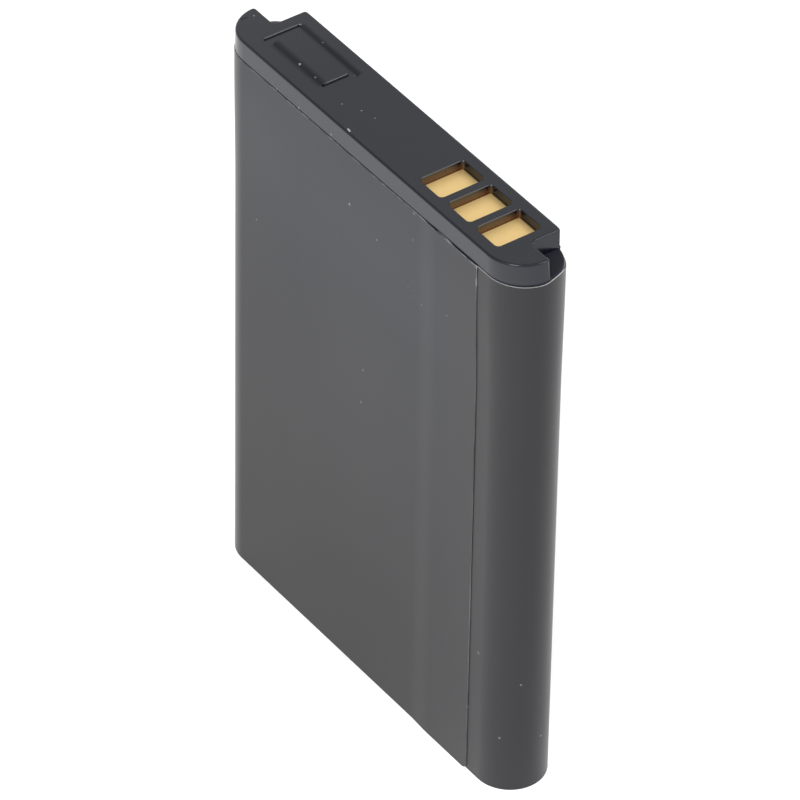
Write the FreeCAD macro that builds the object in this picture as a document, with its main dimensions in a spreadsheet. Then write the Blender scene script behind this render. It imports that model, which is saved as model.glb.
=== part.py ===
import FreeCAD, Part
import math
import os
import re
import Sketcher

# Flat rechargeable pack for a mobile phone, standing on its base end.
# X is the width, with the contact windows towards +X. Y is the thickness, front face towards -Y. Z is up.
# The origin is the middle of the base. All sizes are in millimetres.

SIZES = {
    # Whole pack
    "pack_height": 46.0,
    # Sealed aluminium cell
    "can_width": 33.6,
    "can_thick": 5.15,
    "can_foot_radius": 0.5,
    "can_rim": 0.45,
    "lid_depth": 0.15,
    # Base plate and the tape that holds it to the cell
    "base_thick": 0.8,
    "base_edge": 0.2,
    "tape_thick": 0.1,
    "tape_margin": 0.8,
    # Top cap moulding
    "cap_show": 1.53,
    "cap_inset": 0.05,
    "cap_edge": 0.18,
    "rim_edge": 0.04,
    "cap_wall": 0.8,
    "ceiling": 0.7,
    "shelf": 0.55,
    "skirt_proud": 0.175,
    "skirt_wall": 0.5,
    "near_draft": 0.2,
    "far_draft": 0.03,
    # Corner notches of the cap, measured from where its rounded ends start and from its back
    "notch_corner": 0.45,
    "notch_edge": 0.25,
    "notch_ledge": 0.05,
    "notch_rim": 0.2,
    "near_notch_past": 0.43,
    "near_notch_back": 2.52,
    "near_notch_sink": 0.05,
    "near_notch_wall": 0.65,
    "far_notch_past": 0.48,
    "far_notch_back": 2.67,
    "far_notch_sink": 0.09,
    "far_notch_wall": 0.89,
    # Contact windows and contacts
    "window_width": 2.45,
    "window_front": 0.97,
    "window_corner": 0.3,
    "contact_pitch": 3.14,
    "contact_lap": 0.1,
    "contact_edge": 0.04,
    "contact_thick": 0.15,
    "contact_corner": 0.2,
    # Sunk ring on the cap's far end
    "ring_in": 1.06,
    "ring_length": 6.99,
    "ring_front": 1.29,
    "ring_back": 1.29,
    "ring_depth": 0.15,
    "ring_edge": 0.05,
    "ring_end": 0.6,
    "ring_side": 0.4,
    "ring_corner": 0.15,
    # Wrapped film
    "film": 0.08,
    "film_fit": 0.01,
    "film_gap": 0.05,
    "film_foot": 0.02,
    "seam_in": 4.11,
    "lap_length": 4.38,
    "lap_ramp": 0.5,
    "lap_drop": 0.09,
    "flare_length": 8.0,
    # Protection board and the room under it
    "board_thick": 0.6,
    "board_corner": 0.3,
    "board_fit": 0.05,
    "chip_gap": 0.9,
    # Cell terminal, insulating sheet and thermal cut-off
    "gasket_length": 5.0,
    "gasket_thick": 0.25,
    "gasket_corner": 0.6,
    "gasket_end": 0.8,
    "gasket_side": 0.5,
    "rivet_thick": 0.35,
    "rivet_corner": 0.4,
    "sheet_thick": 0.1,
    "sheet_margin": 0.2,
    "sheet_strip": 0.25,
    "sheet_fit": 0.2,
    "cutoff_left": 4.2,
    "cutoff_length": 5.0,
    "cutoff_width": 2.6,
    "cutoff_corner": 0.3,
    # Nickel strips
    "strip_thick": 0.1,
    "strip_width": 1.6,
    "strip_corner": 0.2,
    "strip_lap": 1.4,
    "strip_foot": 1.8,
    "strip_flange": 1.5,
    "plus_in": 4.15,
    # Parts soldered under the board
    "chip_height": 0.9,
    "chip_corner": 0.1,
    "control_x": -3.0,
    "control_length": 2.9,
    "control_width": 1.6,
    "switch_x": 2.5,
    "switch_length": 4.4,
    "switch_width": 3.0,
    "small_left": -6.2,
    "small_right": 6.6,
    "small_y": 0.9,
    "small_length": 1.6,
    "small_width": 0.8,
    "small_height": 0.45,
    "small_corner": 0.05,
}

# Heights, as formulas of the sizes above: the stack over the lid sets where the cell ends
CAN_FOOT = "(base_thick + tape_thick)"
CAP_UNDER = "(pack_height - ceiling)"
BOARD_TOP = f"({CAP_UNDER} - contact_thick)"
BOARD_UNDER = f"({BOARD_TOP} - board_thick)"
TERMINAL_TOP = f"({BOARD_UNDER} - chip_height - chip_gap - strip_thick)"
LID = f"({TERMINAL_TOP} - rivet_thick - gasket_thick)"
SEAT = f"({LID} + lid_depth)"
SHOULDER = "(pack_height - cap_show)"
FILM_TOP = f"({SHOULDER} - film_gap)"

# Outlines of the cap and the film
SKIRT_WIDTH = "can_width"
SKIRT_THICK = "(can_thick + 2 * skirt_proud)"
BLOCK_WIDTH = f"({SKIRT_WIDTH} + 2 * (film_fit + film - cap_inset))"
BLOCK_THICK = f"({SKIRT_THICK} + 2 * (film_fit + film - cap_inset))"
RIM_FRONT = f"({SKIRT_THICK} / 2 + film_fit + film)"
SEAM = f"({SKIRT_WIDTH} / 2 + film_fit + film - seam_in)"
LAP_START = f"({SEAM} - lap_length)"

# Places along the cap, worked in from its two notches
ROUND_START = f"(({BLOCK_WIDTH} - {BLOCK_THICK}) / 2)"
NEAR_NOTCH = f"({ROUND_START} + near_notch_past)"
FAR_NOTCH = f"(-{ROUND_START} - far_notch_past)"
BOARD_NEAR = f"({NEAR_NOTCH} - near_notch_wall - board_fit)"
BOARD_FAR = f"({FAR_NOTCH} + far_notch_wall + board_fit)"
BOARD_LENGTH = f"({BOARD_NEAR} - {BOARD_FAR})"
BOARD_MID = f"(({BOARD_NEAR} + {BOARD_FAR}) / 2)"
RING_MID = f"({FAR_NOTCH} + ring_in + ring_length / 2)"
LAST_WINDOW = f"({BOARD_NEAR} - contact_edge - contact_lap - window_width / 2)"
PLUS_FOOT = "(plus_in - can_width / 2)"

# Sizes and places across the thickness
BOARD_WIDTH = f"({BLOCK_THICK} - 2 * cap_wall - 2 * board_fit)"
WINDOW_BACK = "(cap_wall + board_fit + contact_edge + contact_lap)"
WINDOW_LENGTH = f"({BLOCK_THICK} - window_front - {WINDOW_BACK})"
WINDOW_Y = f"((window_front - {WINDOW_BACK}) / 2)"
WINDOW_ROW = "(2 * contact_pitch + window_width)"
CONTACT_WIDTH = "(window_width + 2 * contact_lap)"
CONTACT_LENGTH = f"({WINDOW_LENGTH} + 2 * contact_lap)"
RING_WIDTH = f"({BLOCK_THICK} - ring_front - ring_back)"
RING_Y = "((ring_front - ring_back) / 2)"
RIVET_LENGTH = "(gasket_length - 2 * gasket_end)"
GASKET_WIDTH = "(can_thick - 2 * (can_rim + sheet_margin + sheet_strip + sheet_fit))"

# Reach of the cutting outlines past the faces that they cut
OVERCUT = "(can_thick / 5)"
NOTCH_REACH = "(2 * can_thick)"

V = FreeCAD.Vector
UP = V(0, 0, 1)
START, END, CENTRE = 1, 2, 3
ORIGIN = (-1, 1)
X_AXIS = -1

doc = FreeCAD.newDocument("phone_battery")
sheet = doc.addObject("Spreadsheet::Sheet", "Sizes")
for row, (alias, amount) in enumerate(SIZES.items(), start=1):
    sheet.set(f"A{row}", alias)
    sheet.set(f"B{row}", str(amount))
    sheet.setAlias(f"B{row}", alias)
doc.recompute()


def tied(text):
    """The formula with every size name pointing at its cell in the sheet."""
    return re.sub(r"[a-z_]+", lambda word: "Sizes." + word.group(), text)


def number(text):
    """The formula's present value."""
    return float(sheet.evalExpression(tied(text)))


def new_body(name):
    """A named piece of the pack."""
    body = doc.addObject("PartDesign::Body", name)
    body.Label = name
    return body


def origin_feature(body, role):
    """One of the body's own origin planes or axes."""
    return next(item for item in body.Origin.OriginFeatures if item.Role == role)


def new_sketch(body, name, z="0", x="0", y="0", plane="XY_Plane"):
    """A sketch on one of the body's own planes, shifted by the formulas along the sketch's own axes."""
    sketch = body.newObject("Sketcher::SketchObject", f"{body.Name}_{name}")
    sketch.AttachmentSupport = [(origin_feature(body, plane), "")]
    sketch.MapMode = "FlatFace"
    for axis, text in (("x", x), ("y", y), ("z", z)):
        sketch.setExpression(f"AttachmentOffset.Base.{axis}", tied(text))
    return sketch


def relate(sketch, kind, *where):
    """A geometric constraint."""
    sketch.addConstraint(Sketcher.Constraint(kind, *where))


def dimension(sketch, name, text, kind, *where):
    """A named dimension that follows a formula."""
    index = sketch.addConstraint(Sketcher.Constraint(kind, *where, number(text)))
    sketch.renameConstraint(index, name)
    sketch.setExpression(f"Constraints.{name}", tied(text))


def line(sketch, start, end):
    """A straight stretch between two points of the sketch."""
    return sketch.addGeometry(Part.LineSegment(V(*start, 0), V(*end, 0)))


def arc(sketch, centre, radius, first, last):
    """A round stretch between two angles in quarter turns."""
    circle = Part.Circle(V(*centre, 0), UP, radius)
    quarter = math.pi / 2
    return sketch.addGeometry(Part.ArcOfCircle(circle, first * quarter, last * quarter))


def end_arcs(sketch, width, thick, near_inset, far_inset):
    """The two half-round ends of a flat outline, each with its own inset, and the straight back between."""
    radius = number(f"{thick} / 2")
    near_text = f"{width} / 2 - {thick} / 2 - {near_inset}"
    far_text = f"{width} / 2 - {thick} / 2 - {far_inset}"
    near_x = number(near_text)
    far_x = -number(far_text)
    near = arc(sketch, (near_x, 0), radius, -1, 1)
    far = arc(sketch, (far_x, 0), radius, 1, 3)
    back = line(sketch, (far_x, radius), (near_x, radius))
    relate(sketch, "Tangent", back, END, near, END)
    relate(sketch, "Tangent", far, START, back, START)
    relate(sketch, "Horizontal", back)
    relate(sketch, "PointOnObject", near, CENTRE, X_AXIS)
    relate(sketch, "PointOnObject", far, CENTRE, X_AXIS)
    dimension(sketch, "end_radius", f"{thick} / 2", "Radius", near)
    dimension(sketch, "near_centre", near_text, "DistanceX", *ORIGIN, near, CENTRE)
    dimension(sketch, "far_centre", far_text, "DistanceX", far, CENTRE, *ORIGIN)
    return near, far, (near_x, -radius), (far_x, -radius)


def flat_outline(sketch, width, thick, near_inset="0", far_inset="0"):
    """Closed outline with straight front and back and half-round ends."""
    near, far, near_point, far_point = end_arcs(sketch, width, thick, near_inset, far_inset)
    front = line(sketch, near_point, far_point)
    relate(sketch, "Tangent", near, START, front, START)
    relate(sketch, "Tangent", front, END, far, END)


def lapped_outline(sketch, width, thick):
    """The same outline, with the film's outer end over its inner end on the front, from ramp to seam."""
    near, far, near_point, far_point = end_arcs(sketch, width, thick, "0", "0")
    front = near_point[1]
    seam = number(SEAM)
    start = number(LAP_START)
    ramp = number(f"{LAP_START} - lap_ramp")
    proud = front - number("film")
    points = [near_point, (seam, front), (seam, proud), (start, proud), (ramp, front), far_point]
    right, step, lap, slope, left = [line(sketch, *pair) for pair in zip(points, points[1:])]
    relate(sketch, "Tangent", near, START, right, START)
    relate(sketch, "Coincident", right, END, step, START)
    relate(sketch, "Coincident", step, END, lap, START)
    relate(sketch, "Coincident", lap, END, slope, START)
    relate(sketch, "Coincident", slope, END, left, START)
    relate(sketch, "Tangent", left, END, far, END)
    relate(sketch, "Vertical", step)
    relate(sketch, "Horizontal", lap)
    dimension(sketch, "seam", SEAM, "DistanceX", *ORIGIN, step, START)
    dimension(sketch, "film", "film", "DistanceY", step, END, step, START)
    dimension(sketch, "lap_start", LAP_START, "DistanceX", *ORIGIN, lap, END)
    dimension(sketch, "ramp", "lap_ramp", "DistanceX", slope, END, slope, START)


def rounded_rectangle(sketch, length, width, radius):
    """Rectangle with rounded corners, its middle on the sketch's own origin."""
    a = number(f"{length} / 2")
    b = number(f"{width} / 2")
    r = number(radius)
    sides = [
        line(sketch, (r - a, -b), (a - r, -b)),
        line(sketch, (a, r - b), (a, b - r)),
        line(sketch, (a - r, b), (r - a, b)),
        line(sketch, (-a, b - r), (-a, r - b)),
    ]
    middles = [(a - r, r - b), (a - r, b - r), (r - a, b - r), (r - a, r - b)]
    corners = [arc(sketch, middle, r, turn - 1, turn) for turn, middle in enumerate(middles)]
    for turn, corner in enumerate(corners):
        relate(sketch, "Tangent", sides[turn], END, corner, START)
        relate(sketch, "Tangent", corner, END, sides[(turn + 1) % 4], START)
        relate(sketch, "Vertical" if turn % 2 else "Horizontal", sides[turn])
    for corner in corners[1:]:
        relate(sketch, "Equal", corners[0], corner)
    relate(sketch, "Symmetric", corners[0], CENTRE, corners[2], CENTRE, *ORIGIN)
    tag = f"g{sides[0]}"
    dimension(sketch, f"{tag}_radius", radius, "Radius", corners[0])
    dimension(sketch, f"{tag}_length", length, "DistanceX", sides[3], START, sides[1], START)
    dimension(sketch, f"{tag}_width", width, "DistanceY", sides[0], START, sides[2], START)


def polygon(sketch, points):
    """Closed outline of straight stretches, level and upright ones kept so."""
    ring = [line(sketch, *pair) for pair in zip(points, points[1:] + points[:1])]
    for first, second in zip(ring, ring[1:] + ring[:1]):
        relate(sketch, "Coincident", first, END, second, START)
    for edge, (start, end) in zip(ring, zip(points, points[1:] + points[:1])):
        if start[0] == end[0]:
            relate(sketch, "Vertical", edge)
        elif start[1] == end[1]:
            relate(sketch, "Horizontal", edge)
    return ring


def pad(body, sketch, height):
    """Material raised from the sketch along its normal."""
    feature = body.newObject("PartDesign::Pad", f"{sketch.Name}_pad")
    feature.Profile = sketch
    feature.setExpression("Length", tied(height))
    return feature


def pocket(body, sketch, depth, upward=False):
    """Material taken away, against the sketch's normal unless it is upward."""
    doc.recompute()
    before = body.Shape.Volume
    feature = body.newObject("PartDesign::Pocket", f"{sketch.Name}_pocket")
    feature.Profile = sketch
    feature.Reversed = upward
    feature.setExpression("Length", tied(depth))
    doc.recompute()
    if body.Shape.Volume >= before:
        raise RuntimeError(f"{feature.Name} cuts nothing")
    return feature


def edge_names(body, wanted):
    """Names of the body's present edges that pass the test."""
    doc.recompute()
    return [f"Edge{k}" for k, edge in enumerate(body.Shape.Edges, start=1) if wanted(edge)]


def lies_at(level):
    """Test for an edge that lies level at one height."""
    height = number(level)
    return lambda edge: max(abs(edge.BoundBox.ZMin - height), abs(edge.BoundBox.ZMax - height)) < 1e-5


def dress(body, kind, size_name, amount, wanted, name="edge"):
    """A fillet or chamfer on the edges that pass the test."""
    names = edge_names(body, wanted)
    base = body.Tip
    feature = body.newObject(f"PartDesign::{kind}", f"{body.Name}_{name}")
    feature.Base = (base, names)
    feature.setExpression(size_name, tied(amount))
    return feature


def plate(name, z, thick, length, width, radius, x="0", y="0"):
    """A flat piece with rounded corners."""
    body = new_body(name)
    sketch = new_sketch(body, "outline", z, x, y)
    rounded_rectangle(sketch, length, width, radius)
    pad(body, sketch, thick)
    return body


def make_base_plate():
    """Moulded plate on the base end, its lower edge broken."""
    body = new_body("base_plate")
    sketch = new_sketch(body, "outline")
    flat_outline(sketch, "can_width", "can_thick")
    pad(body, sketch, "base_thick")
    dress(body, "Chamfer", "Size", "base_edge", lies_at("0"))
    return body


def make_base_tape():
    """Double-sided tape between the base plate and the cell."""
    body = new_body("base_tape")
    sketch = new_sketch(body, "outline", "base_thick")
    flat_outline(sketch, "(can_width - 2 * tape_margin)", "(can_thick - 2 * tape_margin)")
    pad(body, sketch, "tape_thick")
    return body


def make_cell_can():
    """Sealed drawn can with a rounded foot, and its welded lid sunk below the rim."""
    body = new_body("cell_can")
    outline = new_sketch(body, "outline", CAN_FOOT)
    flat_outline(outline, "can_width", "can_thick")
    pad(body, outline, f"({SEAT} - {CAN_FOOT})")
    dress(body, "Fillet", "Radius", "can_foot_radius", lies_at(CAN_FOOT))
    lid = new_sketch(body, "lid", SEAT)
    flat_outline(lid, "(can_width - 2 * can_rim)", "(can_thick - 2 * can_rim)")
    pocket(body, lid, "lid_depth")
    return body


def make_lid_sheet():
    """Insulating sheet on the lid, cut out round the terminal and round the weld of the positive strip."""
    body = new_body("lid_sheet")
    outline = new_sketch(body, "outline", LID)
    inset = "(can_rim + sheet_margin)"
    flat_outline(outline, f"(can_width - 2 * {inset})", f"(can_thick - 2 * {inset})")
    pad(body, outline, "sheet_thick")
    top = f"({LID} + sheet_thick)"
    round_terminal = new_sketch(body, "terminal", top)
    hole_length = "(gasket_length + 2 * sheet_fit)"
    hole_width = f"({GASKET_WIDTH} + 2 * sheet_fit)"
    rounded_rectangle(round_terminal, hole_length, hole_width, "gasket_corner")
    pocket(body, round_terminal, "sheet_thick")
    round_weld = new_sketch(body, "weld", top, f"({PLUS_FOOT} + strip_foot / 2)")
    weld_length = "(strip_foot + 2 * sheet_fit)"
    weld_width = "(strip_width + 2 * sheet_fit)"
    rounded_rectangle(round_weld, weld_length, weld_width, "strip_corner")
    pocket(body, round_weld, "sheet_thick")
    return body


def make_riser(name, foot_x, foot_z):
    """Nickel strip bent to a Z: a foot, a riser, and a flange soldered under the board."""
    body = new_body(name)
    width_half = "strip_width / 2"
    sketch = new_sketch(body, "profile", f"-{width_half}", foot_x, foot_z, "XZ_Plane")
    rise_text = f"({BOARD_UNDER} - {foot_z})"
    foot = number("strip_foot")
    rise = number(rise_text)
    reach = foot + number("strip_flange")
    thin = number("strip_thick")
    points = [
        (0, 0), (foot, 0), (foot, rise - thin), (reach, rise - thin),
        (reach, rise), (foot - thin, rise), (foot - thin, thin), (0, thin),
    ]
    under, outer, below, tip, top, inner, over, heel = polygon(sketch, points)
    relate(sketch, "Coincident", under, START, *ORIGIN)
    dimension(sketch, "foot", "strip_foot", "DistanceX", under, START, under, END)
    dimension(sketch, "flange", "strip_flange", "DistanceX", below, START, below, END)
    dimension(sketch, "rise", rise_text, "DistanceY", under, START, top, START)
    dimension(sketch, "foot_thick", "strip_thick", "DistanceY", heel, END, heel, START)
    dimension(sketch, "riser_thick", "strip_thick", "DistanceX", top, END, outer, END)
    dimension(sketch, "flange_thick", "strip_thick", "DistanceY", tip, START, tip, END)
    pad(body, sketch, "strip_width")
    return body


def make_terminal():
    """The cell's own terminal: an insulating gasket on the lid with the rivet head on it."""
    gasket = plate("terminal_gasket", LID, "gasket_thick", "gasket_length", GASKET_WIDTH, "gasket_corner")
    rivet_foot = f"({LID} + gasket_thick)"
    rivet = plate("terminal_rivet", rivet_foot, "rivet_thick", RIVET_LENGTH,
                  f"({GASKET_WIDTH} - 2 * gasket_side)", "rivet_corner")
    return [gasket, rivet]


def make_negative_line():
    """Strip from the terminal to the cut-off, the cut-off on the lid sheet, and its strip to the board."""
    cutoff_thick = "(gasket_thick + rivet_thick - sheet_thick)"
    cutoff_mid = "(cutoff_left + cutoff_length / 2)"
    cutoff = plate("thermal_cutoff", f"({LID} + sheet_thick)", cutoff_thick,
                   "cutoff_length", "cutoff_width", "cutoff_corner", cutoff_mid)
    link_end = "(cutoff_left + strip_lap)"
    link_start = f"(strip_lap / 2 - {RIVET_LENGTH} / 2)"
    link = plate("negative_strip", TERMINAL_TOP, "strip_thick", f"({link_end} - {link_start})",
                 "strip_width", "strip_corner", f"(({link_end} + {link_start}) / 2)")
    foot_x = "(cutoff_left + cutoff_length - strip_lap - strip_thick)"
    riser = make_riser("cutoff_strip", foot_x, TERMINAL_TOP)
    return [cutoff, link, riser]


def make_board():
    """Protection board, the parts soldered under it and the three plated contacts on top of it."""
    pieces = [plate("protection_board", BOARD_UNDER, "board_thick",
                    BOARD_LENGTH, BOARD_WIDTH, "board_corner", BOARD_MID)]
    chip_foot = f"({BOARD_UNDER} - chip_height)"
    for name, word in (("control_chip", "control"), ("switch_transistor", "switch")):
        pieces.append(plate(name, chip_foot, "chip_height", f"{word}_length", f"{word}_width",
                            "chip_corner", f"{word}_x"))
    small_foot = f"({BOARD_UNDER} - small_height)"
    small_parts = {
        "supply_resistor": ("small_left", "small_y"),
        "filter_capacitor": ("small_left", "-small_y"),
        "sense_resistor": ("small_right", "small_y"),
        "identity_resistor": ("small_right", "-small_y"),
    }
    for name, (x, y) in small_parts.items():
        pieces.append(plate(name, small_foot, "small_height", "small_length", "small_width",
                            "small_corner", x, y))
    for place, name in enumerate(("contact_positive", "contact_identity", "contact_negative")):
        middle = f"({LAST_WINDOW} - {place} * contact_pitch)"
        pieces.append(plate(name, BOARD_TOP, "contact_thick", CONTACT_WIDTH, CONTACT_LENGTH,
                            "contact_corner", middle, WINDOW_Y))
    return pieces


def add_notch(body, name, x, y, top, depth):
    """Square step with a rounded inner corner, cut down from one level through the outline."""
    sketch = new_sketch(body, name, top, x, y)
    rounded_rectangle(sketch, NOTCH_REACH, NOTCH_REACH, "notch_corner")
    pocket(body, sketch, depth)


def runs_out(x, y):
    """Test for the upright edges where a notch's two walls run out through the cap's sides."""
    wall_x = number(x)
    wall_y = number(y)
    least_rise = number("cap_show / 2")
    least_way = number("1.5 * notch_corner")

    def wanted(edge):
        box = edge.BoundBox
        middle = edge.CenterOfMass
        on_x = max(abs(box.XMin - wall_x), abs(box.XMax - wall_x)) < 1e-4
        on_y = max(abs(box.YMin - wall_y), abs(box.YMax - wall_y)) < 1e-4
        away = math.hypot(middle.x - wall_x, middle.y - wall_y) > least_way
        return box.ZLength > least_rise and away and (on_x or on_y)

    return wanted


def floor_rim(x, y, level):
    """Test for the outer edge of a notch's floor, clear of its two walls."""
    wall_x = number(x)
    wall_y = number(y)
    least_way = number("notch_corner / 2")
    level_edge = lies_at(level)

    def wanted(edge):
        middle = edge.CenterOfMass
        return level_edge(edge) and min(abs(middle.x - wall_x), abs(middle.y - wall_y)) > least_way

    return wanted


def add_notches(body):
    """Steps at the two back corners: outer corners rounded, floors sunk past the shoulder and rounded off."""
    half = f"{NOTCH_REACH} / 2"
    near_y = f"({BLOCK_THICK} / 2 - near_notch_back)"
    far_y = f"({BLOCK_THICK} / 2 - far_notch_back)"
    near_place = (f"({NEAR_NOTCH} + {half})", f"({near_y} + {half})")
    far_place = (f"({FAR_NOTCH} - {half})", f"({far_y} + {half})")
    add_notch(body, "near_notch", *near_place, "pack_height", "(cap_show - notch_ledge)")
    add_notch(body, "far_notch", *far_place, "pack_height", "(cap_show - notch_ledge)")
    near_side = runs_out(NEAR_NOTCH, near_y)
    far_side = runs_out(FAR_NOTCH, far_y)
    dress(body, "Fillet", "Radius", "notch_edge", lambda edge: near_side(edge) or far_side(edge), "corners")
    ledge = f"({SHOULDER} + notch_ledge)"
    add_notch(body, "near_sink", *near_place, ledge, "(notch_ledge + near_notch_sink)")
    add_notch(body, "far_sink", *far_place, ledge, "(notch_ledge + far_notch_sink)")
    near_rim = floor_rim(NEAR_NOTCH, near_y, f"({SHOULDER} - near_notch_sink)")
    far_rim = floor_rim(FAR_NOTCH, far_y, f"({SHOULDER} - far_notch_sink)")
    dress(body, "Fillet", "Radius", "notch_rim", lambda edge: near_rim(edge) or far_rim(edge), "floors")


def top_rim(middle, length):
    """Test for the rims in the cap's top face along one stretch of its width."""
    reach = number(f"{length} / 2") + 1e-4
    centre = number(middle)
    level_edge = lies_at("pack_height")
    return lambda edge: level_edge(edge) and max(
        centre - edge.BoundBox.XMin, edge.BoundBox.XMax - centre) < reach


def add_windows(body):
    """Row of windows through the ceiling, one over each contact."""
    first_window = f"({LAST_WINDOW} - 2 * contact_pitch)"
    sketch = new_sketch(body, "window", "pack_height", first_window, WINDOW_Y)
    rounded_rectangle(sketch, "window_width", WINDOW_LENGTH, "window_corner")
    first = pocket(body, sketch, "ceiling")
    row = body.newObject("PartDesign::LinearPattern", "window_row")
    row.Originals = [first]
    row.Direction = (origin_feature(body, "X_Axis"), [""])
    row.setExpression("Length", tied("2 * contact_pitch"))
    row.Occurrences = 3
    body.Tip = row
    middle = f"({LAST_WINDOW} - contact_pitch)"
    dress(body, "Chamfer", "Size", "rim_edge", top_rim(middle, WINDOW_ROW), "rims")


def add_ring(body):
    """Shallow rectangular ring sunk into the top, which leaves an island level with the face."""
    sketch = new_sketch(body, "ring", "pack_height", RING_MID, RING_Y)
    rounded_rectangle(sketch, "ring_length", RING_WIDTH, "ring_corner")
    island_length = "(ring_length - 2 * ring_end)"
    island_width = f"({RING_WIDTH} - 2 * ring_side)"
    rounded_rectangle(sketch, island_length, island_width, "ring_corner")
    pocket(body, sketch, "ring_depth")
    dress(body, "Chamfer", "Size", "ring_edge", top_rim(RING_MID, "ring_length"), "ring_rims")


def add_hollow(body):
    """Room inside: a wide lower part over the lid, and the board's own pocket above it."""
    low = new_sketch(body, "low_room", SEAT)
    flat_outline(low, f"({SKIRT_WIDTH} - 2 * skirt_wall)", f"({SKIRT_THICK} - 2 * skirt_wall)")
    pocket(body, low, f"({SHOULDER} - shelf - {SEAT})", upward=True)
    high = new_sketch(body, "board_room", f"({SHOULDER} - shelf)", BOARD_MID)
    room_length = f"({BOARD_LENGTH} + 2 * board_fit)"
    room_width = f"({BOARD_WIDTH} + 2 * board_fit)"
    rounded_rectangle(high, room_length, room_width, "board_corner")
    pocket(body, high, f"({CAP_UNDER} - {SHOULDER} + shelf)", upward=True)


def make_top_cap():
    """Moulded cap: a skirt under the film, and a block above with drafted ends, notches, ring and windows."""
    body = new_body("top_cap")
    skirt = new_sketch(body, "skirt", SEAT)
    flat_outline(skirt, SKIRT_WIDTH, SKIRT_THICK)
    pad(body, skirt, f"({SHOULDER} - {SEAT})")
    foot = new_sketch(body, "block_foot", SHOULDER)
    flat_outline(foot, BLOCK_WIDTH, BLOCK_THICK)
    top = new_sketch(body, "block_top", "pack_height")
    flat_outline(top, BLOCK_WIDTH, BLOCK_THICK, "near_draft", "far_draft")
    block = body.newObject("PartDesign::AdditiveLoft", "cap_block")
    block.Profile = foot
    block.Sections = [top]
    block.Ruled = True
    add_notches(body)
    dress(body, "Fillet", "Radius", "cap_edge", lies_at("pack_height"))
    add_ring(body)
    add_hollow(body)
    add_windows(body)
    return body


def add_film_loft(body, kind, name, outline, levels):
    """Straight-sided skin through outlines of (width, thickness, height), bottom to top."""
    sketches = []
    for step, (width, thick, z) in enumerate(levels):
        sketch = new_sketch(body, f"{name}_{step}", z)
        outline(sketch, width, thick)
        sketches.append(sketch)
    loft = body.newObject(f"PartDesign::{kind}", f"{name}_loft")
    loft.Profile = sketches[0]
    loft.Sections = sketches[1:]
    loft.Ruled = True
    return loft


def film_levels(extra, overcut):
    """Outlines of the film at the foot, at the flare's start, at the cap's skirt and at the top."""
    body_width = f"(can_width + 2 * {extra})"
    body_thick = f"(can_thick + 2 * {extra})"
    rim_width = f"({SKIRT_WIDTH} + 2 * {extra})"
    rim_thick = f"({SKIRT_THICK} + 2 * {extra})"
    return [
        (body_width, body_thick, f"(film_foot - {overcut})"),
        (body_width, body_thick, f"({SEAT} - flare_length)"),
        (rim_width, rim_thick, SEAT),
        (rim_width, rim_thick, f"({FILM_TOP} + {overcut})"),
    ]


def add_film_trim(body):
    """Top edge of the outer end lies lower: level along the front, and sloping up along the back."""
    reach = f"(can_width / 2 + {OVERCUT})"
    height = f"(lap_drop + {OVERCUT})"
    low = f"({FILM_TOP} - lap_drop)"
    far_x = -number(reach)
    start = number(LAP_START)
    drop = number("lap_drop")
    rise = number(height)
    front = new_sketch(body, "front_trim", "0", "0", low, "XZ_Plane")
    bottom, right, top, left = polygon(front, [(far_x, 0), (start, 0), (start, rise), (far_x, rise)])
    relate(front, "PointOnObject", bottom, START, X_AXIS)
    dimension(front, "far", reach, "DistanceX", bottom, START, *ORIGIN)
    dimension(front, "near", LAP_START, "DistanceX", *ORIGIN, bottom, END)
    dimension(front, "rise", height, "DistanceY", right, START, right, END)
    pocket(body, front, "can_thick", upward=True)
    lap = new_sketch(body, "lap_trim", RIM_FRONT, "0", low, "XZ_Plane")
    from_text = f"({LAP_START} - lap_ramp)"
    to_text = f"({SEAM} + film)"
    first = number(from_text)
    last = number(to_text)
    bottom, right, top, left = polygon(lap, [(first, 0), (last, 0), (last, rise), (first, rise)])
    relate(lap, "PointOnObject", bottom, START, X_AXIS)
    dimension(lap, "from_mid", from_text, "DistanceX", *ORIGIN, bottom, START)
    dimension(lap, "near", to_text, "DistanceX", *ORIGIN, bottom, END)
    dimension(lap, "rise", height, "DistanceY", right, START, right, END)
    pocket(body, lap, "can_thick", upward=True)
    back = new_sketch(body, "back_trim", "0", "0", low, "XZ_Plane")
    near_x = -far_x
    points = [(far_x, 0), (near_x, drop), (near_x, rise), (far_x, rise)]
    bottom, right, top, left = polygon(back, points)
    relate(back, "PointOnObject", bottom, START, X_AXIS)
    dimension(back, "far", reach, "DistanceX", bottom, START, *ORIGIN)
    dimension(back, "near", reach, "DistanceX", *ORIGIN, bottom, END)
    dimension(back, "drop", "lap_drop", "DistanceY", *ORIGIN, bottom, END)
    dimension(back, "rise", height, "DistanceY", bottom, START, left, START)
    pocket(body, back, "can_thick")


def make_label_wrap():
    """Plain film, one sheet round the cell and the cap's skirt, its outer end lapped over its inner end."""
    body = new_body("label_wrap")
    outside = film_levels("(film_fit + film)", "0")
    inside = film_levels("film_fit", OVERCUT)
    add_film_loft(body, "AdditiveLoft", "film_outside", lapped_outline, outside)
    doc.recompute()
    add_film_loft(body, "SubtractiveLoft", "film_inside", flat_outline, inside)
    add_film_trim(body)
    return body


def check(pieces):
    """Stops if any object failed or any piece isn't one sound solid."""
    failed = [item.Name for item in doc.Objects if {"Invalid", "Error"} & set(item.State)]
    if failed:
        raise RuntimeError("failed objects: " + ", ".join(failed))
    for piece in pieces:
        shape = piece.Shape
        if shape.isNull() or not shape.isValid() or len(shape.Solids) != 1:
            raise RuntimeError(f"{piece.Label} is not one valid solid")


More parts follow.
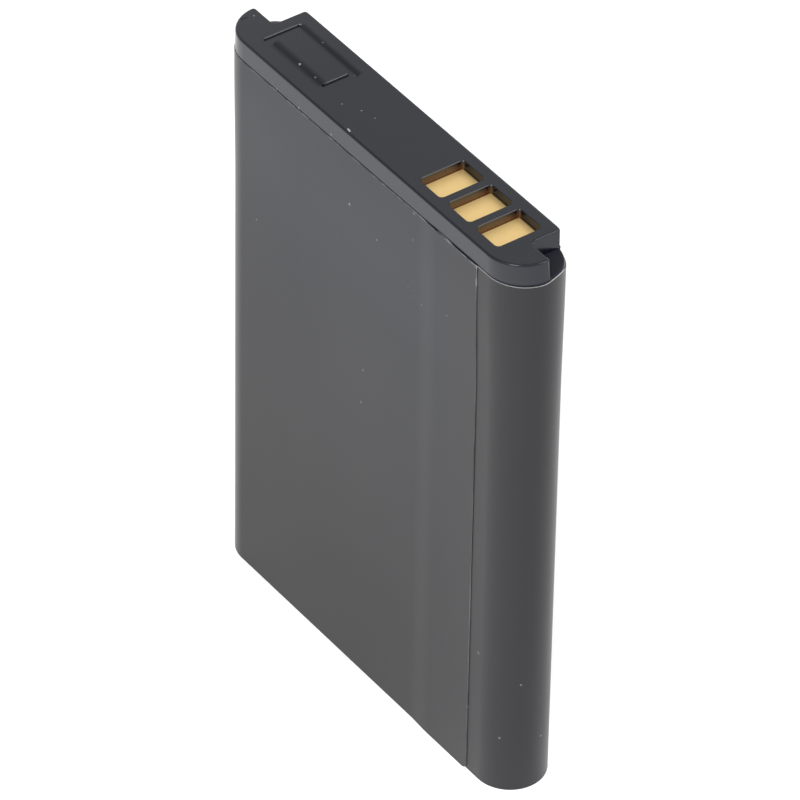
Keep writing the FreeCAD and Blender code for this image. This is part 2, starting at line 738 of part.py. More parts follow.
pieces = [make_base_plate(), make_base_tape(), make_cell_can(), make_lid_sheet()]
pieces += make_terminal()
pieces.append(make_riser("positive_strip", PLUS_FOOT, LID))
pieces += make_negative_line()
pieces += make_board()
pieces.append(make_top_cap())
pieces.append(make_label_wrap())
doc.recompute()
check(pieces)

os.makedirs("parts", exist_ok=True)
for piece in pieces:
    piece.Shape.exportStep(f"parts/{piece.Label}.step")
    print(f"{piece.Label}: {piece.Shape.Volume:.3f} cubic millimetres")
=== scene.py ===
"""Looks of a flat phone battery: a cell wrapped in dark film, a black moulded cap and gilt contacts."""
import math

import bpy
import numpy as np
from mathutils import Matrix, Vector


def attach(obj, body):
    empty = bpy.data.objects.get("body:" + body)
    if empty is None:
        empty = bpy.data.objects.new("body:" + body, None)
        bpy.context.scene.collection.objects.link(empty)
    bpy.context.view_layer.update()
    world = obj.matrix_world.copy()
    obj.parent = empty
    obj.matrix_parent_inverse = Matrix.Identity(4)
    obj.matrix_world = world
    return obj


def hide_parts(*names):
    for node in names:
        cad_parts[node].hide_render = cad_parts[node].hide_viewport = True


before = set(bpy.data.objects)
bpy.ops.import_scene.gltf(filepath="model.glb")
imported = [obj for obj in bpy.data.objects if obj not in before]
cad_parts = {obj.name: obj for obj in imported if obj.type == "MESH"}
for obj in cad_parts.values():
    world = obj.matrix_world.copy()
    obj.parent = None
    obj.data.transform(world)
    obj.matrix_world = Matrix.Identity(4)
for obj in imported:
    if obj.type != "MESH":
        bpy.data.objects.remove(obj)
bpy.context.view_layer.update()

MM = 0.001
RANGE_SOCKETS = ("From Min", "From Max", "To Min", "To Max")

# Film wrap, in millimetres: the cell's shape is the solid's, and the cut edges waver as on the real sheet
CAN_HALF_THICK = 2.575
END_CENTRE = 14.225
FILM = 0.08
FILM_FIT = 0.01
FLARE = 0.175
FLARE_FOOT = 34.2
FLARE_TOP = 42.2
STRAIGHT_END = 13.0
FOOT_OUTER = 0.02
FOOT_INNER = 0.1
FOOT_CORNER = 0.45
TOP_LAP = 44.39
LOW_LAP = 44.24
TOP_FRONT = 44.33
TOP_BACK = 44.4
NEAR_TURNS = (-1.571, -0.6, -0.15, 0.0, 0.11, 0.25, 0.4, 0.55, 0.94, 1.571)
NEAR_TOPS = (44.33, 44.27, 44.23, 44.26, 44.34, 44.4, 44.39, 44.33, 43.98, 44.03)
SEAM = 12.865
LAP_START = 8.4
LAP_RAMP = 2.2
RAMP_EASE = 0.2
LAP_DIP_START = LAP_START + 0.7
LAP_DIP_END = LAP_START + 2.2
NEAR_EASE = 0.4
SEAM_CORNER = 1.1 * FOOT_CORNER

# Points along the film for each stretch of it, and bands of its height with the points in each
TURN_POINTS = 65
SHORT_POINTS = 12
BACK_POINTS = 40
FRONT_POINTS = 36
RAMP_POINTS = 25
LAP_POINTS = 16
CORNER_POINTS = 24
HEIGHT_BANDS = ((0, 0.02, 14), (0.02, 0.7, 30), (0.7, 0.97, 30), (0.97, 1, 8))

# Cap: its top, its shoulder over the film, and where its shape is softer than the solid's
CAP_TOP = 46.0
SHOULDER = 44.47
NOTCH_FLOOR = 44.38
NOTCH_WALL = 14.48
NOTCH_LEAN = (0.988, 0.0, 0.156)
RING_SIDES = ((-1.03, 0.46, -12.9, -7.05), (1.57, 0.34, -13.45, -6.45))
RING_FADE = 0.25
RING_LEAN = (0.0, -0.5, 0.866)

# Contacts: middles and half width of the windows over them, and the windows' front and back
WINDOW_MIDDLES = (6.135, 9.275, 12.415)
WINDOW_HALF = 1.225
WINDOW_FRONT = -1.82
WINDOW_BACK = 1.78

# Camera, fitted to edges of the object: angles in degrees, lengths in millimetres
CAMERA_AZIMUTH = 53.654
CAMERA_ELEVATION = 39.572
CAMERA_ROLL = 1.044
CAMERA_DISTANCE = 532.55
CAMERA_TARGET = (-0.754, 1.131, 21.908)
FOCAL_PIXELS = 7789.6
IMAGE_PIXELS = 800
SENSOR = 36.0

# Studio: brightness of its walls, and the way to their dark patch with the cosines where that fades
WALL = 0.84
DARK_WALL = 0.56
DARK_WAY = (-0.647, -0.498, 0.577)
DARK_FADE = (0.72, 0.97)

# Soft boxes, in metres and watts: name, place, side and power
LIGHT_TARGET = (0, 0, 0.02)
SOFT_BOXES = (
    ("over_camera", (0.35, -0.55, 0.75), 0.3, 2.5),
    ("behind_right", (0.64, 0.46, 0.64), 0.5, 2.2),
)

# Table, glowing with painted light: half its side in metres, the way of its bright pool, and how far its
# glows reach in millimetres
TABLE_HALF = 1.5
BRIGHT_WAY = (0.18, -0.984, 0)
BASE_GLOW = 0.17
BASE_GLOW_REACH = 6
BACK_GLOW = 0.11
BACK_GLOW_REACH = 24

# Tones: heights between which the film turns from a painted warm reflection to cold, where dust on the cap
# ends, and colours
FILM_REFLECTION_WARM_BELOW = 14
FILM_REFLECTION_COLD_ABOVE = 40
# Colours of the film's painted warm reflection
FILM_PAINTED_REFLECTION_DARK = (0.0044, 0.0032, 0.0058, 1)
FILM_PAINTED_REFLECTION_LIGHT = (0.0054, 0.004, 0.007, 1)
CAP_DUST = 0.009
CAP_DUST_START = -END_CENTRE - 2.5
CAP_DUST_END = -9
# Painted reflection of the gold, low on the windows' far walls
PAINTED_GOLD_REFLECTION = (0.09, 0.022, 0.002, 1)
GOLD_DARK = (0.9, 0.64, 0.255, 1)
GOLD_LIGHT = (0.96, 0.69, 0.3, 1)
# Painted shade on the gold at the feet of the windows' walls
PAINTED_WALL_SHADE = (0.09, 0.04, 0.01, 1)

# Specks of dust and small scuffs: place and radius in millimetres, and how much they show
CAP_SPECKS = (
    ((-15.97, -0.5, 46.0), 0.1, 0.3), ((-13.38, 1.51, 46.0), 0.1, 0.35), ((-10.87, 1.59, 46.0), 0.08, 0.3),
    ((-9.8, -1.07, 46.0), 0.12, 0.8), ((-8.01, -1.05, 46.0), 0.09, 0.4), ((-6.81, 1.33, 45.92), 0.1, 0.35),
    ((-4.59, -1.28, 46.0), 0.08, 0.3), ((-3.26, -0.63, 46.0), 0.09, 0.35), ((-2.08, -0.38, 46.0), 0.08, 0.3),
    ((-2.13, -2.53, 46.0), 0.09, 0.9), ((-2.01, -2.55, 46.0), 0.1, 0.9), ((-1.89, -2.58, 46.0), 0.09, 0.9),
    ((-10.0, -2.79, 44.52), 0.08, 0.3), ((-7.46, -2.79, 44.52), 0.1, 0.5), ((-3.7, -2.79, 44.66), 0.1, 0.35),
)
CAP_CREASE = (
    ((-16.12, -1.4, 46.0), 0.14, 1.0), ((-16.1, -1.2, 46.0), 0.14, 1.0), ((-16.07, -1.0, 46.0), 0.12, 1.0),
)
FILM_SPECKS = (
    ((5.8, -2.84, 44.14), 0.1, 0.4), ((5.74, -2.83, 41.89), 0.08, 0.3), ((6.73, -2.72, 36.98), 0.08, 0.3),
    ((5.16, -2.73, 37.48), 0.07, 0.2), ((5.84, -2.73, 37.16), 0.07, 0.2), ((0.12, -2.67, 26.92), 0.12, 0.25),
    ((-0.06, -2.67, 23.99), 0.12, 0.25), ((9.69, -2.83, 38.1), 0.08, 0.3), ((16.67, -1.06, 9.69), 0.1, 0.3),
    ((15.83, -2.12, 4.78), 0.11, 0.3), ((16.8, 0.68, 4.27), 0.1, 0.3), ((12.93, -2.75, 5.77), 0.13, 0.35),
    ((13.9, -2.66, 11.4), 0.14, 0.25), ((-1.5, -2.79, 40.2), 0.13, 0.45),
    ((-12.5, -2.66, 31.7), 0.09, 0.35), ((1.62, -2.77, 39.18), 0.09, 0.35),
)


def smooth_step(value, low, high):
    """Zero below low, one above high, and 3t^2 - 2t^3 between them."""
    t = np.clip((value - low) / (high - low), 0, 1)
    return t * t * (3 - 2 * t)


def grid_faces(rows, columns):
    """Corner numbers of the quads of a grid whose points run along the columns first."""
    corner = np.arange(rows - 1)[:, None] * columns + np.arange(columns - 1)[None, :]
    return np.stack([corner, corner + 1, corner + columns + 1, corner + columns], -1).reshape(-1, 4)


def new_piece(name, points, faces, material_numbers, materials):
    """A mesh piece in metres from points in millimetres, riding on the one body."""
    mesh = bpy.data.meshes.new(name)
    mesh.from_pydata(points * MM, [], faces)
    mesh.polygons.foreach_set("material_index", np.asarray(material_numbers, np.int32))
    mesh.polygons.foreach_set("use_smooth", np.ones(len(faces), bool))
    for material in materials:
        mesh.materials.append(material)
    mesh.update()
    piece = bpy.data.objects.new(name, mesh)
    bpy.context.scene.collection.objects.link(piece)
    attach(piece, "root")
    return piece


class Nodes:
    """Short hands for the node tree of a new material."""

    def __init__(self, name):
        self.material = bpy.data.materials.new(name)
        self.material.use_nodes = True
        self.tree = self.material.node_tree
        self.shader = self.tree.nodes["Principled BSDF"]
        self.place = self.add("ShaderNodeTexCoord").outputs["Object"]

    def add(self, kind, **settings):
        """A node with its own settings."""
        node = self.tree.nodes.new(kind)
        for key, value in settings.items():
            setattr(node, key, value)
        return node

    def feed(self, socket, value):
        """A link from another socket, or a plain value."""
        if isinstance(value, bpy.types.NodeSocket):
            self.tree.links.new(value, socket)
        else:
            socket.default_value = value

    def math(self, operation, first, second=0.0):
        """One sum on two numbers."""
        node = self.add("ShaderNodeMath", operation=operation)
        self.feed(node.inputs[0], first)
        self.feed(node.inputs[1], second)
        return node.outputs[0]

    def vector(self, operation, first, second=(0, 0, 0), out="Value"):
        """One sum on two vectors."""
        node = self.add("ShaderNodeVectorMath", operation=operation)
        self.feed(node.inputs[0], first)
        self.feed(node.inputs[1], second)
        return node.outputs[out]

    def specks(self, marks):
        """Strongest of some soft round spots, each with its place, radius and share."""
        strongest = 0.0
        for place, radius, share in marks:
            gap = self.vector("DISTANCE", self.place, tuple(MM * p for p in place))
            spot = self.spread(gap, 0.4 * radius * MM, radius * MM, share, 0)
            strongest = self.math("MAXIMUM", strongest, spot)
        return strongest

    def axes(self):
        """The three object coordinates, in millimetres."""
        scaled = self.vector("MULTIPLY", self.place, (1 / MM, 1 / MM, 1 / MM), "Vector")
        node = self.add("ShaderNodeSeparateXYZ")
        self.feed(node.inputs[0], scaled)
        return node.outputs

    def stretched(self, scale):
        """Object coordinates times a scale for each axis."""
        node = self.add("ShaderNodeMapping")
        self.feed(node.inputs["Vector"], self.place)
        node.inputs["Scale"].default_value = scale
        return node.outputs["Vector"]

    def noise(self, vector, scale, detail, roughness=0.5):
        """Cloudy noise from zero to one."""
        node = self.add("ShaderNodeTexNoise")
        self.feed(node.inputs["Vector"], vector)
        node.inputs["Scale"].default_value = scale
        node.inputs["Detail"].default_value = detail
        node.inputs["Roughness"].default_value = roughness
        return node.outputs["Fac"]

    def spread(self, value, low, high, to_low, to_high, kind="LINEAR"):
        """A number taken from one range to another, held at the ends."""
        node = self.add("ShaderNodeMapRange", interpolation_type=kind)
        self.feed(node.inputs["Value"], value)
        for socket, amount in zip(RANGE_SOCKETS, (low, high, to_low, to_high)):
            node.inputs[socket].default_value = amount
        return node.outputs["Result"]

    def off_nearest(self, value, places):
        """How far a number lies from the nearest of some places."""
        gaps = [self.math("ABSOLUTE", self.math("SUBTRACT", value, place)) for place in places]
        nearest = gaps[0]
        for gap in gaps[1:]:
            nearest = self.math("MINIMUM", nearest, gap)
        return nearest

    def within(self, value, low, high, fade):
        """One between two values, fading to zero over a short way inside each of them."""
        rising = self.spread(value, low, low + fade, 0, 1)
        falling = self.spread(value, high - fade, high, 1, 0)
        return self.math("MULTIPLY", rising, falling)

    def mix(self, share, first, second, kind="RGBA"):
        """Two colours or vectors mixed by a share."""
        node = self.add("ShaderNodeMix", data_type=kind)
        self.feed(node.inputs["Factor"], share)
        self.feed(node.inputs["A"], first)
        self.feed(node.inputs["B"], second)
        return node.outputs["Result"]

    def bump(self, height, strength, distance, under=None):
        """Surface relief from a height, laid over another relief."""
        node = self.add("ShaderNodeBump")
        self.feed(node.inputs["Height"], height)
        node.inputs["Strength"].default_value = strength
        node.inputs["Distance"].default_value = distance
        if under is not None:
            self.feed(node.inputs["Normal"], under)
        return node.outputs["Normal"]

    def lean(self, share, way, under):
        """A normal turned by a share towards a way that is given in the object's own axes."""
        node = self.add("ShaderNodeVectorTransform", vector_type="NORMAL")
        node.convert_from = "OBJECT"
        node.convert_to = "WORLD"
        node.inputs[0].default_value = way
        return self.mix(share, under, node.outputs[0], "VECTOR")

    def set(self, **sockets):
        """Values or links for the shader's own sockets."""
        for key, value in sockets.items():
            self.feed(self.shader.inputs[key.replace("_", " ")], value)


def grey(value, cold=0.0):
    """An even colour, or a little cold."""
    return (value * (1 - cold), value, value * (1 + 3 * cold), 1.0)


def film_finish():
    """Satin black film: cloudy tone, a painted warm reflection low down and at the near end, soft ripples
    and a fine grain.
    """
    n = Nodes("film_finish")
    axes = n.axes()
    cloud = n.noise(n.stretched((1, 1, 0.6)), 90, 2)
    grain = n.noise(n.stretched((1, 1, 0.25)), 9000, 2)
    ripple = n.noise(n.stretched((1, 1, 0.35)), 130, 1)
    cloudy = n.spread(cloud, 0.3, 0.7, 0, 1)
    # Painted reflection: the film turns warmer low down and towards the near end.
    low = n.spread(axes["Z"], FILM_REFLECTION_WARM_BELOW, FILM_REFLECTION_COLD_ABOVE, 1, 0)
    near = n.spread(axes["X"], LAP_START, SEAM, 0, 1)
    cold_tone = n.mix(cloudy, grey(0.004, 0.45), grey(0.006, 0.45))
    painted_warm_reflection = n.mix(cloudy, FILM_PAINTED_REFLECTION_DARK, FILM_PAINTED_REFLECTION_LIGHT)
    tone = n.mix(n.math("MAXIMUM", low, near), cold_tone, painted_warm_reflection)
    n.set(Base_Color=n.mix(n.specks(FILM_SPECKS), tone, grey(0.5)))
    n.set(Roughness=n.spread(cloud, 0.3, 0.7, 0.32, 0.38))
    n.set(IOR=1.45)
    relief = n.bump(ripple, 0.2, 0.00005)
    n.set(Normal=n.bump(grain, 0.1, 0.000004, relief))
    return n.material


def film_cut_finish():
    """Core of the film where it was cut: pale at the near end, duller elsewhere, worn high on the seam."""
    n = Nodes("film_cut_finish")
    axes = n.axes()
    patchy = n.noise(n.place, 1500, 3)
    streaks = n.noise(n.stretched((1, 1, 0.2)), 900, 2)
    fresh = n.spread(axes["X"], SEAM - 0.8, SEAM, 0, 1)
    dull = n.spread(patchy, 0.4, 0.7, 0.1, 0.35)
    bright = n.spread(patchy, 0.3, 0.7, 0.4, 0.55)
    old = n.math("MULTIPLY", dull, n.math("SUBTRACT", 1.0, fresh))
    pale = n.math("ADD", n.math("MULTIPLY", bright, fresh), old)
    at_top = n.spread(axes["Z"], TOP_FRONT - 0.18, TOP_FRONT - 0.12, 0, 1)
    upright = n.math("MULTIPLY", n.spread(streaks, 0.4, 0.7, 0.04, 0.2), n.math("SUBTRACT", 1.0, at_top))
    worn = n.math("MULTIPLY", n.within(axes["Z"], TOP_FRONT - 1.75, TOP_FRONT - 0.85, 0.2), 0.4)
    share = n.math("MAXIMUM", n.math("MULTIPLY", pale, at_top), n.math("MAXIMUM", upright, worn))
    n.set(Base_Color=n.mix(share, grey(0.08), grey(1.0)))
    n.set(Roughness=0.6)
    return n.material


def ring_sides(n, axes):
    """Where the ring's long sides slope softly: one on each line, fading to zero a short way off it."""
    strongest = 0.0
    for side, reach, start, end in RING_SIDES:
        gap = n.math("ABSOLUTE", n.math("SUBTRACT", axes["Y"], side))
        along = n.within(axes["X"], start, end, RING_FADE)
        strongest = n.math("MAXIMUM", strongest, n.math("MULTIPLY", along, n.spread(gap, 0, reach, 1, 0)))
    return n.math("MULTIPLY", strongest, n.spread(axes["Z"], CAP_TOP - 0.4, CAP_TOP - 0.3, 0, 1))


def notch_wall(n, axes):
    """Where the near notch's end wall leans back."""
    across = n.within(axes["X"], NOTCH_WALL - 0.1, NOTCH_WALL + 0.1, 0.05)
    upright = n.within(axes["Z"], SHOULDER + 0.05, CAP_TOP - 0.05, 0.1)
    return n.math("MULTIPLY", n.math("MULTIPLY", across, upright), n.spread(axes["Y"], 0.3, 0.5, 0, 1))


def dull_below(n, axes):
    """Extra roughness under the shoulder and on the notches' floors, but not on the sides under these."""
    low = n.spread(axes["Z"], SHOULDER - 0.03, SHOULDER, 0.65, 0)
    behind = n.spread(axes["Y"], 0.8, 1.1, 0, 1)
    under = n.spread(axes["Z"], NOTCH_FLOOR - 0.05, NOTCH_FLOOR - 0.01, 1, 0)
    return n.math("MULTIPLY", low, n.math("SUBTRACT", 1.0, n.math("MULTIPLY", behind, under)))


def painted_reflection_feet(n, axes):
    """Share of a painted reflection of the gold: one at the feet of the windows' far walls, and zero at
    their tops.
    """
    off_wall = n.off_nearest(axes["X"], [middle - WINDOW_HALF for middle in WINDOW_MIDDLES])
    at_wall = n.spread(off_wall, 0.1, 0.25, 1, 0)
    across = n.within(axes["Y"], WINDOW_FRONT - 0.4, WINDOW_BACK + 0.4, 0.1)
    falling = n.spread(axes["Z"], CAP_TOP - 0.65, CAP_TOP - 0.1, 1, 0)
    return n.math("MULTIPLY", falling, n.math("MULTIPLY", at_wall, across))


def cap_finish():
    """Black moulded plastic: a fine spark-eroded grain, a soft sheen, some dust at the far end, and a
    painted reflection of the gold low on the windows' far walls.
    """
    n = Nodes("cap_finish")
    axes = n.axes()
    grain = n.noise(n.place, 6000, 3, 0.6)
    cloud = n.noise(n.place, 240, 2)
    clean = n.mix(cloud, grey(0.004, 0.4), grey(0.007, 0.4))
    dust = n.spread(axes["X"], CAP_DUST_START, CAP_DUST_END, CAP_DUST, 0)
    dusty = n.mix(dust, clean, grey(1.0))
    # Painted reflection: the gold's colour painted low on the windows' far walls.
    tone = n.mix(painted_reflection_feet(n, axes), dusty, PAINTED_GOLD_REFLECTION)
    n.set(Base_Color=n.mix(n.specks(CAP_SPECKS), tone, grey(0.5)))
    n.set(Roughness=n.math("ADD", n.spread(cloud, 0.3, 0.7, 0.15, 0.2), dull_below(n, axes)))
    n.set(IOR=1.5)
    level = n.bump(grain, 0.1, 0.000004)
    sloped = n.lean(n.math("MAXIMUM", ring_sides(n, axes), n.specks(CAP_CREASE)), RING_LEAN, level)
    n.set(Normal=n.lean(notch_wall(n, axes), NOTCH_LEAN, sloped))
    return n.material


def gilt_finish():
    """Gold plating with fine rub marks along the pins' way, and painted shade at the feet of the windows'
    walls.
    """
    n = Nodes("gilt_finish")
    axes = n.axes()
    wipe = n.noise(n.stretched((1, 0.08, 1)), 9000, 2)
    cloud = n.noise(n.place, 700, 3)
    off_middle = n.off_nearest(axes["X"], WINDOW_MIDDLES)
    # Painted shade: the gold darkens towards the feet of the windows' walls.
    at_sides = n.spread(off_middle, WINDOW_HALF - 0.1, WINDOW_HALF - 0.03, 0, 0.9)
    at_back = n.spread(axes["Y"], WINDOW_BACK - 0.1, WINDOW_BACK - 0.03, 0, 0.9)
    at_front = n.spread(axes["Y"], WINDOW_FRONT + 0.03, WINDOW_FRONT + 0.1, 0.9, 0)
    wall_shade = n.math("MAXIMUM", at_sides, n.math("MAXIMUM", at_back, at_front))
    gold = n.mix(cloud, GOLD_DARK, GOLD_LIGHT)
    n.set(Metallic=0.45)
    n.set(Base_Color=n.mix(wall_shade, gold, PAINTED_WALL_SHADE))
    n.set(Roughness=n.spread(cloud, 0.3, 0.7, 0.38, 0.45))
    n.set(Normal=n.bump(wipe, 0.15, 0.000004))
    return n.material


def drawn_metal(name, colour, roughness, along):
    """Bare metal with fine drawing lines along one axis."""
    n = Nodes(name)
    lines = n.noise(n.stretched(along), 5000, 3)
    dark = tuple(0.85 * c for c in colour[:3]) + (1.0,)
    n.set(Metallic=1.0)
    n.set(Base_Color=n.mix(lines, dark, colour))
    n.set(Roughness=n.spread(lines, 0.3, 0.7, roughness - 0.06, roughness + 0.08))
    n.set(Normal=n.bump(lines, 0.12, 0.000005))
    return n.material


def speckled(name, first, second, scale, roughness):
    """Two close tones in fine speckles, with a matching fine relief."""
    n = Nodes(name)
    speckle = n.noise(n.place, scale, 4, 0.6)
    n.set(Base_Color=n.mix(n.spread(speckle, 0.35, 0.65, 0, 1), first, second))
    n.set(Roughness=n.spread(speckle, 0.3, 0.7, roughness, roughness + 0.1))
    n.set(Normal=n.bump(speckle, 0.15, 0.000008))
    return n.material


def film_stations():
    """Stations along the film from its inner end, round the near end, back and far end, to the seam.

    Each station is a place on the flat middle line of the cell, the angle of the outward direction there,
    and whether it belongs to the outer end on the front.
    """
    ramp_foot = LAP_START - LAP_RAMP - RAMP_EASE
    ramp_top = LAP_START + RAMP_EASE
    corner_start = SEAM - SEAM_CORNER
    turn = np.linspace(-np.pi / 2, np.pi / 2, TURN_POINTS)
    under_lap = np.linspace(LAP_START, STRAIGHT_END, SHORT_POINTS)[:-1]
    past_seam = np.linspace(STRAIGHT_END, END_CENTRE, SHORT_POINTS)[:-1]
    front_in = np.concatenate([under_lap, past_seam])
    middle = np.linspace(STRAIGHT_END, -STRAIGHT_END, BACK_POINTS)[1:-1]
    near_end = np.linspace(END_CENTRE, STRAIGHT_END, SHORT_POINTS)[1:]
    far_end = np.linspace(-STRAIGHT_END, -END_CENTRE, SHORT_POINTS)[:-1]
    back = np.concatenate([near_end, middle, far_end])
    front_out = np.linspace(-STRAIGHT_END, ramp_foot, FRONT_POINTS)[1:]
    ramp = np.linspace(ramp_foot, ramp_top, RAMP_POINTS)[1:]
    lap = np.linspace(ramp_top, corner_start, LAP_POINTS)[1:]
    corner = np.linspace(corner_start, SEAM, CORNER_POINTS)[1:]
    out = np.concatenate([-near_end, front_out, ramp, lap, corner])
    ends = np.full(len(turn), END_CENTRE)
    x = np.concatenate([front_in, ends, back, -ends, out])
    angle = np.concatenate([
        np.full(len(front_in), -np.pi / 2), turn, np.full(len(back), np.pi / 2),
        turn + np.pi, np.full(len(out), 1.5 * np.pi),
    ])
    return x, angle, np.arange(len(x)) >= len(x) - len(out)


def film_edges(x, angle, is_out):
    """Heights of the sheet's foot and top at each station.

    The sheet is wound a little askew: the inner end starts higher than the outer end and dips behind it,
    and the back's near half lies lower than the front. At the near end the cut wavers with the angle.
    The outer end's lower corner is rounded off as a quarter circle.
    """
    near_top = np.interp(angle, NEAR_TURNS, NEAR_TOPS)
    lap_top = TOP_LAP + (LOW_LAP - TOP_LAP) * smooth_step(x, LAP_DIP_START, LAP_DIP_END)
    inner_top = lap_top + (near_top - lap_top) * smooth_step(x, SEAM - NEAR_EASE, SEAM)
    wound = smooth_step(x, -END_CENTRE, END_CENTRE)
    back_top = TOP_BACK + (NEAR_TOPS[-1] - TOP_BACK) * wound
    far_top = TOP_FRONT + (back_top - TOP_FRONT) * smooth_step(np.sin(angle), -0.5, 0.5)
    hair = 1e-6
    before_back = (np.cos(angle) > -hair) & (angle < np.pi / 2 - hair)
    at_near = before_back & (x > LAP_START - 0.01) & ~is_out
    top = np.where(at_near, inner_top, far_top)
    inner_foot = FOOT_OUTER + (FOOT_INNER - FOOT_OUTER) * wound
    over = np.clip(x - SEAM + FOOT_CORNER, 0, FOOT_CORNER)
    rounding = FOOT_CORNER - np.sqrt(FOOT_CORNER ** 2 - over ** 2)
    foot = np.where(is_out, FOOT_OUTER + rounding, inner_foot)
    return foot, top


def film_wrap(face_finish, cut_finish):
    """The film as one sheet wound once round the cell and lapped over itself.

    A point of the sheet is its station's place plus the outward direction times the cell's half thickness,
    the flare, the lift over the lap and the depth in the film. The lift climbs by one film thickness and
    the flare grows towards the cap, both as smooth steps. Towards the round ends the places move in by the
    flare, so that the wrap grows thicker there and not wider.
    """
    x, angle, is_out = film_stations()
    lift = np.where(is_out, FILM * smooth_step(x, LAP_START - LAP_RAMP, LAP_START), 0)
    foot, top = film_edges(x, angle, is_out)
    bands = [np.linspace(low, high, points)[:-1] for low, high, points in HEIGHT_BANDS]
    share = np.concatenate(bands + [[1.0]])
    z = foot[None, :] + share[:, None] * (top - foot)[None, :]
    flare = FLARE * smooth_step(z, FLARE_FOOT - 1, FLARE_TOP + 1)
    drawn_in = np.sign(x) * smooth_step(np.abs(x), STRAIGHT_END, END_CENTRE)
    place = x[None, :] - flare * drawn_in[None, :]
    rows, columns = z.shape

    def skin(depth):
        """Points of the sheet at one depth in the film."""
        reach = CAN_HALF_THICK + FILM_FIT + flare + lift[None, :] + depth * FILM
        return np.stack([place + reach * np.cos(angle), reach * np.sin(angle), z], -1).reshape(-1, 3)

    faces = grid_faces(rows, columns)
    count = rows * columns
    outside = skin(1)
    inside = skin(0)
    number = np.arange(count).reshape(rows, columns)
    loop = np.concatenate([number[0, :-1], number[:-1, -1], number[-1, :0:-1], number[:0:-1, 0]])
    points = np.concatenate([outside, inside, outside[loop], inside[loop]])
    rim = 2 * count + np.arange(len(loop))
    rim_after = np.roll(rim, -1)
    edge = np.stack([rim, rim + len(loop), rim_after + len(loop), rim_after], -1)
    all_faces = np.concatenate([faces, faces[:, ::-1] + count, edge])
    numbers = np.concatenate([np.zeros(2 * len(faces), int), np.ones(len(edge), int)])
    piece = new_piece("film_wrap", points, all_faces, numbers, [face_finish, cut_finish])
    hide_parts("label_wrap")


def dress_solids(finishes):
    """Each solid that shows as it is gets the finish of its own material."""
    for name, finish in finishes.items():
        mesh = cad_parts[name].data
        mesh.materials.clear()
        mesh.materials.append(finish)


def place_camera():
    """Camera at the fitted place: it looks along a direction given by azimuth and elevation, then rolls."""
    azimuth, elevation, roll = (math.radians(a) for a in (CAMERA_AZIMUTH, CAMERA_ELEVATION, CAMERA_ROLL))
    reach = math.cos(elevation)
    back = Vector((math.sin(azimuth) * reach, -math.cos(azimuth) * reach, math.sin(elevation)))
    level = Vector((math.cos(azimuth), math.sin(azimuth), 0))
    steep = back.cross(level)
    right = math.cos(roll) * level + math.sin(roll) * steep
    up = math.cos(roll) * steep - math.sin(roll) * level
    place = (Vector(CAMERA_TARGET) + CAMERA_DISTANCE * back) * MM
    data = bpy.data.cameras.new("camera")
    data.sensor_width = SENSOR
    data.lens = SENSOR * FOCAL_PIXELS / IMAGE_PIXELS
    data.clip_start = 0.05
    data.clip_end = 20
    camera = bpy.data.objects.new("camera", data)
    camera.matrix_world = Matrix((
        (right.x, up.x, back.x, place.x),
        (right.y, up.y, back.y, place.y),
        (right.z, up.z, back.z, place.z),
        (0, 0, 0, 1)))
    bpy.context.scene.collection.objects.link(camera)
    bpy.context.scene.camera = camera


def soft_box(name, place, side, power):
    """A square area light that faces the object."""
    data = bpy.data.lights.new(name, "AREA")
    data.shape = "RECTANGLE"
    data.size = side
    data.size_y = side
    data.energy = power
    light = bpy.data.objects.new(name, data)
    light.location = place
    light.rotation_euler = (Vector(place) - Vector(LIGHT_TARGET)).to_track_quat("Z", "Y").to_euler()
    bpy.context.scene.collection.objects.link(light)


def table_finish():
    """White table that glows with painted light: brighter round the base and behind it, which fills its
    contact shadow, and in a painted pool of light before the near end.
    """
    n = Nodes("table_finish")
    axes = n.axes()
    from_end = n.vector("SUBTRACT", n.place, (END_CENTRE * MM, 0, 0), "Vector")
    way = n.vector("NORMALIZE", from_end, out="Vector")
    ahead = n.vector("DOT_PRODUCT", way, BRIGHT_WAY)
    past_end = n.math("MAXIMUM", n.math("SUBTRACT", n.math("ABSOLUTE", axes["X"]), END_CENTRE), 0)
    squares = n.math("ADD", n.math("POWER", past_end, 2), n.math("POWER", axes["Y"], 2))
    off_base = n.math("SUBTRACT", n.math("SQRT", squares), CAN_HALF_THICK)
    base_glow = n.spread(off_base, 0, BASE_GLOW_REACH, BASE_GLOW, 0, "SMOOTHSTEP")
    behind = n.spread(axes["Y"], 0, 4, 0, BACK_GLOW, "SMOOTHSTEP")
    back_glow = n.math("MULTIPLY", behind, n.spread(off_base, 0, BACK_GLOW_REACH, 1, 0, "SMOOTHSTEP"))
    glow = n.math("ADD", base_glow, back_glow)
    n.set(Base_Color=n.mix(n.noise(n.place, 30, 2), grey(0.88), grey(0.92)))
    n.set(Roughness=0.9)
    n.set(Emission_Color=grey(1.0))
    # Painted light: the table's own glow, strongest round the base, behind it and in a pool before the near
    # end.
    n.set(Emission_Strength=n.math("ADD", glow, n.spread(ahead, -0.15, 1.0, 0.28, 0.74)))
    return n.material


def walls():
    """Even white walls, darker in one soft patch high on the left in front."""
    world = bpy.data.worlds.new("studio")
    world.use_nodes = True
    tree = world.node_tree
    way = tree.nodes.new("ShaderNodeTexCoord").outputs["Generated"]
    towards = tree.nodes.new("ShaderNodeVectorMath")
    towards.operation = "DOT_PRODUCT"
    towards.inputs[1].default_value = DARK_WAY
    patch = tree.nodes.new("ShaderNodeMapRange")
    patch.interpolation_type = "SMOOTHSTEP"
    for socket, amount in zip(RANGE_SOCKETS, DARK_FADE + (WALL, DARK_WALL)):
        patch.inputs[socket].default_value = amount
    tree.links.new(way, towards.inputs[0])
    tree.links.new(towards.outputs["Value"], patch.inputs["Value"])
    tree.links.new(patch.outputs["Result"], tree.nodes["Background"].inputs["Strength"])
    tree.nodes["Background"].inputs["Color"].default_value = grey(1.0)
    return world


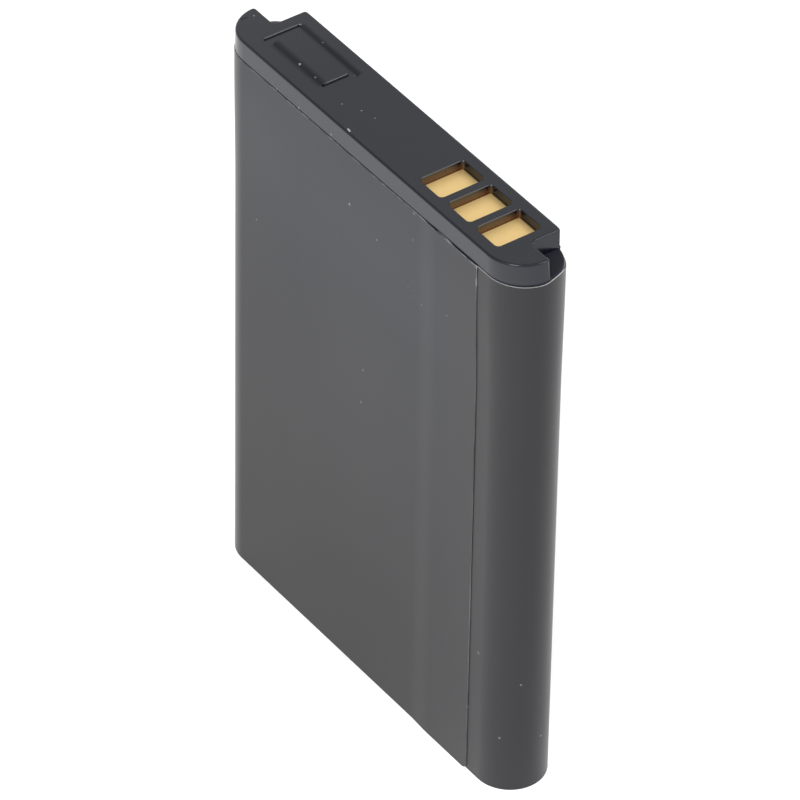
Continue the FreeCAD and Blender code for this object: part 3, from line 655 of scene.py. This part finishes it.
def studio():
    """White table and soft light from all round, with a soft box over the camera and one behind."""
    scene = bpy.context.scene
    scene.view_settings.view_transform = "Standard"
    scene.world = walls()
    corners = TABLE_HALF * np.array([(-1, -1, 0), (1, -1, 0), (1, 1, 0), (-1, 1, 0)])
    mesh = bpy.data.meshes.new("table")
    mesh.from_pydata(corners, [], [(0, 1, 2, 3)])
    mesh.materials.append(table_finish())
    table = bpy.data.objects.new("table", mesh)
    scene.collection.objects.link(table)
    for name, place, side, power in SOFT_BOXES:
        soft_box(name, place, side, power)


cap = cap_finish()
gilt = gilt_finish()
nickel = drawn_metal("nickel_finish", (0.66, 0.65, 0.62, 1), 0.32, (0.05, 1, 1))
chip_case = speckled("chip_case_finish", grey(0.016), grey(0.026), 7000, 0.42)
fired_body = speckled("fired_body_finish", (0.3, 0.25, 0.2, 1), (0.42, 0.36, 0.29, 1), 9000, 0.5)
dress_solids({
    "base_plate": cap,
    "base_tape": speckled("tape_finish", (0.6, 0.58, 0.5, 1), (0.72, 0.7, 0.62, 1), 3000, 0.6),
    "cell_can": drawn_metal("can_finish", (0.8, 0.8, 0.8, 1), 0.34, (1, 1, 0.03)),
    "lid_sheet": speckled("fibre_sheet_finish", (0.62, 0.65, 0.57, 1), (0.75, 0.78, 0.7, 1), 4000, 0.7),
    "terminal_gasket": speckled("gasket_finish", grey(0.03), grey(0.05), 5000, 0.55),
    "terminal_rivet": nickel,
    "positive_strip": nickel,
    "thermal_cutoff": speckled("cutoff_case_finish", grey(0.12), grey(0.2), 4000, 0.4),
    "negative_strip": nickel,
    "cutoff_strip": nickel,
    "protection_board": speckled("board_finish", (0.012, 0.07, 0.03, 1), (0.02, 0.1, 0.045, 1), 3500, 0.35),
    "control_chip": chip_case,
    "switch_transistor": chip_case,
    "supply_resistor": fired_body,
    "filter_capacitor": fired_body,
    "sense_resistor": fired_body,
    "identity_resistor": fired_body,
    "contact_negative": gilt,
    "contact_identity": gilt,
    "contact_positive": gilt,
    "top_cap": cap,
})
film_wrap(film_finish(), film_cut_finish())
place_camera()
studio()
